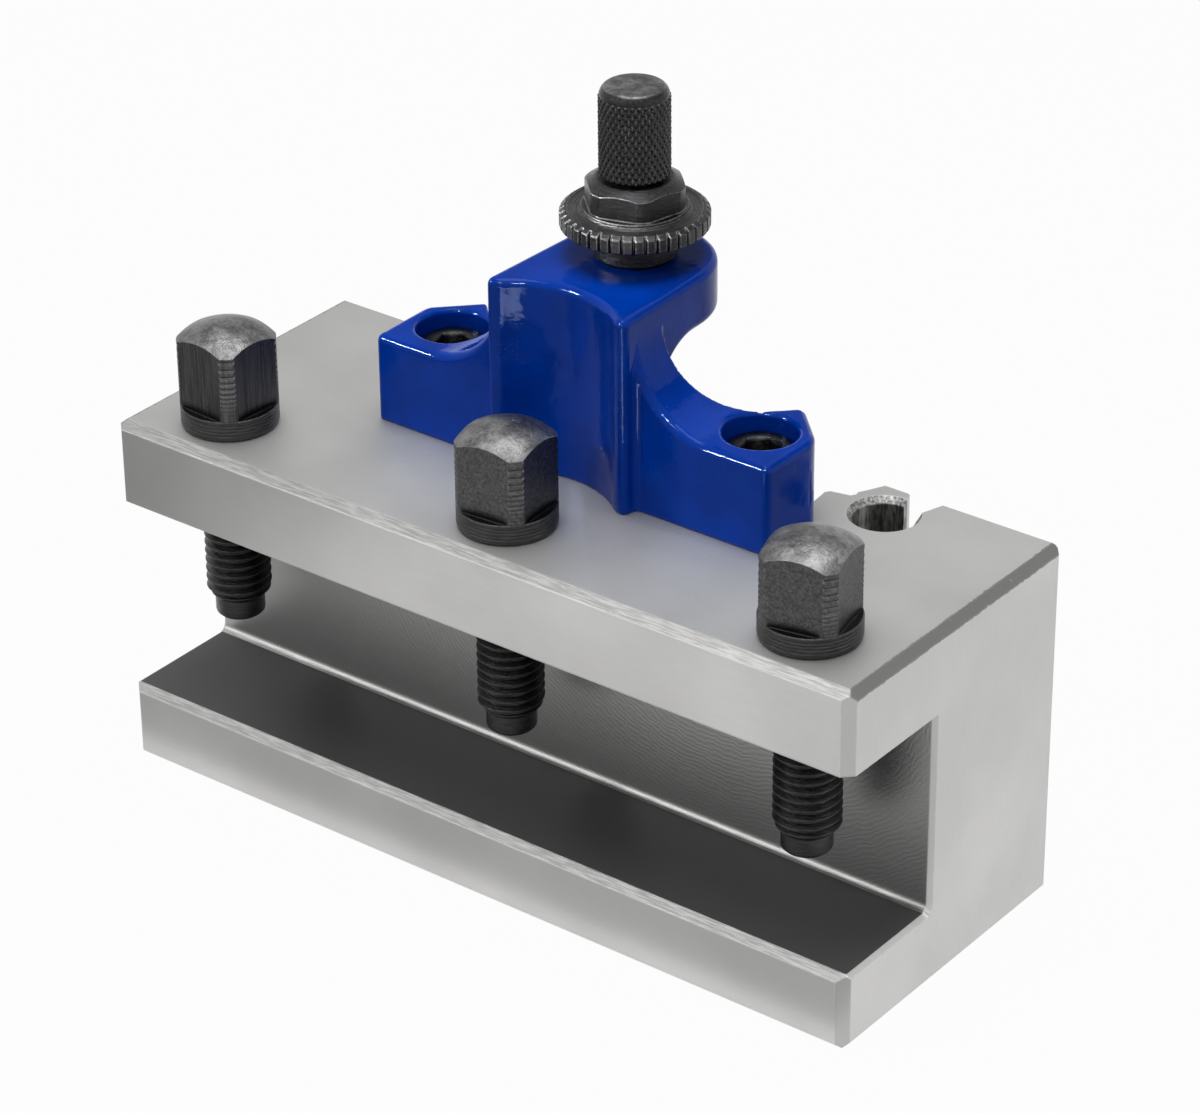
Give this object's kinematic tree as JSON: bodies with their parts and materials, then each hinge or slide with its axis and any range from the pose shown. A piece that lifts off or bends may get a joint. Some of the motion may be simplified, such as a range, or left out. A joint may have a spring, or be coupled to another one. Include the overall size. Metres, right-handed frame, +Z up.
{
  "type": "lathe tool holder",
  "caption": "Quick-change lathe tool holder: a slotted steel block with square-head clamp screws, a serrated post recess with hook channels, and a height screw on a bracket.",
  "frame": {"origin": "centre of the block's underside", "axes": "+X along the tool slot, +Y back to the tool post, +Z up along the clamp screws"},
  "size_m": [0.135, 0.0532, 0.1164],
  "materials": {
    "ground_steel": "satin ground",
    "blue_enamel": "glossy",
    "black_oxide": "oiled black oxide"
  },
  "bodies": {
    "holder": {"holder_body": "ground_steel", "adjuster_bracket": "blue_enamel", "bracket_screw_left": "black_oxide", "bracket_screw_right": "black_oxide"},
    "clamp_left": {"clamp_screw_left": "black_oxide"},
    "clamp_middle": {"clamp_screw_middle": "black_oxide"},
    "clamp_right": {"clamp_screw_right": "black_oxide"},
    "height_adjuster": {"height_screw": "black_oxide"},
    "locking_nut": {"lock_nut": "black_oxide"}
  },
  "joints": [
    {"name": "clamp_left_travel", "type": "slide", "parent": "holder", "child": "clamp_left", "axis": [0, 0, 1], "range_m": [0, 0.0195]},
    {"name": "clamp_middle_travel", "type": "slide", "parent": "holder", "child": "clamp_middle", "axis": [0, 0, 1], "range_m": [0, 0.0208]},
    {"name": "clamp_right_travel", "type": "slide", "parent": "holder", "child": "clamp_right", "axis": [0, 0, 1], "range_m": [0, 0.0214]},
    {"name": "height_travel", "type": "slide", "parent": "holder", "child": "height_adjuster", "axis": [0, 0, 1], "range_m": [0, 0.019]},
    {"name": "lock_nut_turn", "type": "hinge", "parent": "holder", "child": "locking_nut", "pos_m": [0, 0.01505, 0.0899], "axis": [0, 0, 1], "continuous": true}
  ]
}
